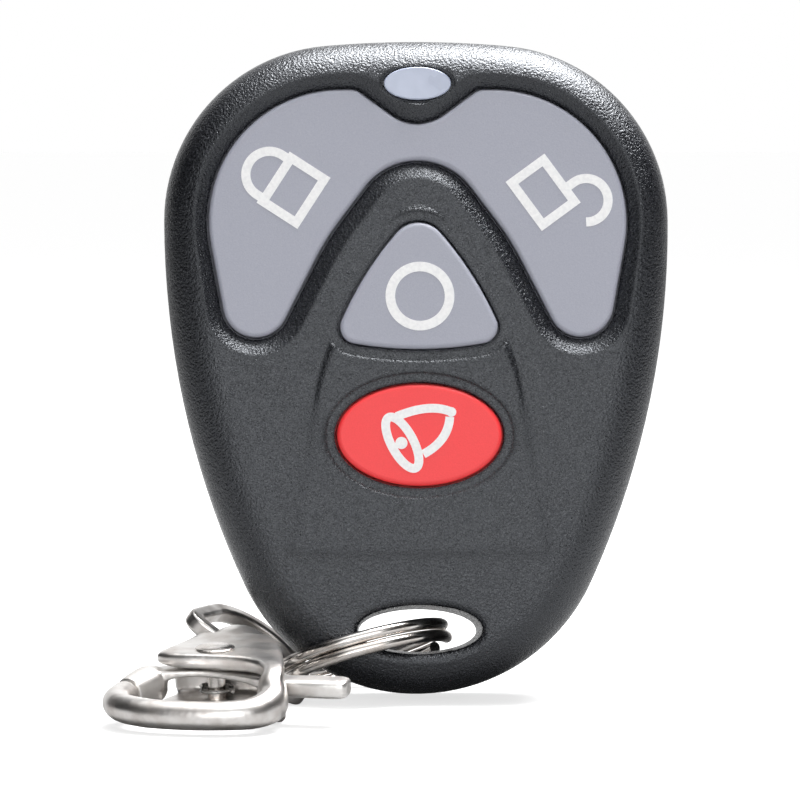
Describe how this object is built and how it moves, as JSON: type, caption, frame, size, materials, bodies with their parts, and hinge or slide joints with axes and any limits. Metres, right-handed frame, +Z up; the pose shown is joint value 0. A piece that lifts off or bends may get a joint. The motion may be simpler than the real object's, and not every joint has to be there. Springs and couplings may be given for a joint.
{
  "type": "gate remote control",
  "caption": "Gate remote control fob with a rocking lock and unlock key, a ring key, a red bell key, an indicator window, a split ring and a swivelling trigger clasp.",
  "frame": {"origin": "the middle of the case, on its long axis, halfway through its depth", "axes": "+Z up, -Y towards the user, +X to the right as seen from the front; the case stands on its ring end and leans back 7.5 degrees"},
  "size_m": [0.0525, 0.0403, 0.0608],
  "materials": {
    "front_shell": "charcoal, fine satin grain",
    "back_shell": "charcoal, fine satin grain",
    "case_screws": "zinc plated",
    "indicator_window": "frosted, bluish",
    "lock_unlock_key": "bluish grey, satin",
    "circle_key": "bluish grey, satin",
    "alarm_key": "bright red, satin",
    "lock_unlock_plungers": "black",
    "circle_plunger": "black",
    "alarm_plunger": "black",
    "circuit_board": "green solder mask",
    "tact_switches": "black with a metal cover",
    "indicator_lamp": "clear epoxy",
    "encoder_chip": "black moulding",
    "resonator": "tin can",
    "antenna_coil": "copper wire",
    "battery": "nickel plated can",
    "battery_spring_contact": "nickel plated",
    "battery_button_contact": "nickel plated",
    "split_ring": "nickel plated steel wire",
    "swivel_eye": "cast, nickel plated",
    "swivel_rivet": "nickel plated",
    "claw_casting": "cast, nickel plated",
    "gate_lever": "cast, nickel plated",
    "gate_pin": "nickel plated",
    "gate_spring": "spring steel"
  },
  "bodies": {
    "case": {"front_shell": "front_shell", "back_shell": "back_shell", "case_screws": "case_screws", "indicator_window": "indicator_window", "circuit_board": "circuit_board", "tact_switches": "tact_switches", "indicator_lamp": "indicator_lamp", "encoder_chip": "encoder_chip", "resonator": "resonator", "antenna_coil": "antenna_coil", "battery": "battery", "battery_spring_contact": "battery_spring_contact", "battery_button_contact": "battery_button_contact"},
    "lock_unlock": {"lock_unlock_key": "lock_unlock_key", "lock_unlock_plungers": "lock_unlock_plungers"},
    "circle": {"circle_key": "circle_key", "circle_plunger": "circle_plunger"},
    "alarm": {"alarm_key": "alarm_key", "alarm_plunger": "alarm_plunger"},
    "ring": {"split_ring": "split_ring"},
    "eye": {"swivel_eye": "swivel_eye", "swivel_rivet": "swivel_rivet"},
    "claw": {"claw_casting": "claw_casting", "gate_pin": "gate_pin", "gate_spring": "gate_spring"},
    "gate": {"gate_lever": "gate_lever"}
  },
  "joints": [
    {"name": "lock_unlock_rock", "type": "hinge", "parent": "case", "child": "lock_unlock", "pos_m": [0, -0.00313, 0.01453], "axis": [0, 0.1305, 0.9914], "range_deg": [-1.3, 1.3], "stiffness_Nm_per_rad": 0.25},
    {"name": "circle_press", "type": "slide", "parent": "case", "child": "circle", "axis": [0, 0.9914, -0.1305], "range_m": [0, 0.0005], "stiffness_N_per_m": 900, "springref_m": -0.0015},
    {"name": "alarm_press", "type": "slide", "parent": "case", "child": "alarm", "axis": [0, 0.9914, -0.1305], "range_m": [0, 0.0005], "stiffness_N_per_m": 900, "springref_m": -0.0015},
    {"name": "ring_turn", "type": "hinge", "parent": "case", "child": "ring", "pos_m": [-0.00505, -0.00226, -0.02631], "axis": [-0.2549, 0.2521, 0.9335], "range_deg": [-20, 20]},
    {"name": "eye_swing", "type": "hinge", "parent": "ring", "child": "eye", "pos_m": [-0.01248, -0.00457, -0.02772], "axis": [0.2284, -0.9224, 0.3114], "range_deg": [-12, 8]},
    {"name": "claw_swivel", "type": "hinge", "parent": "eye", "child": "claw", "pos_m": [-0.01853, -0.01625, -0.02718], "axis": [0.2595, 0.9584, 0.1191], "continuous": true},
    {"name": "gate_open", "type": "hinge", "parent": "claw", "child": "gate", "pos_m": [-0.01853, -0.01625, -0.02718], "axis": [-0.0311, -0.115, 0.9929], "range_deg": [0, 17], "stiffness_Nm_per_rad": 0.02, "springref_deg": -20.05}
  ]
}
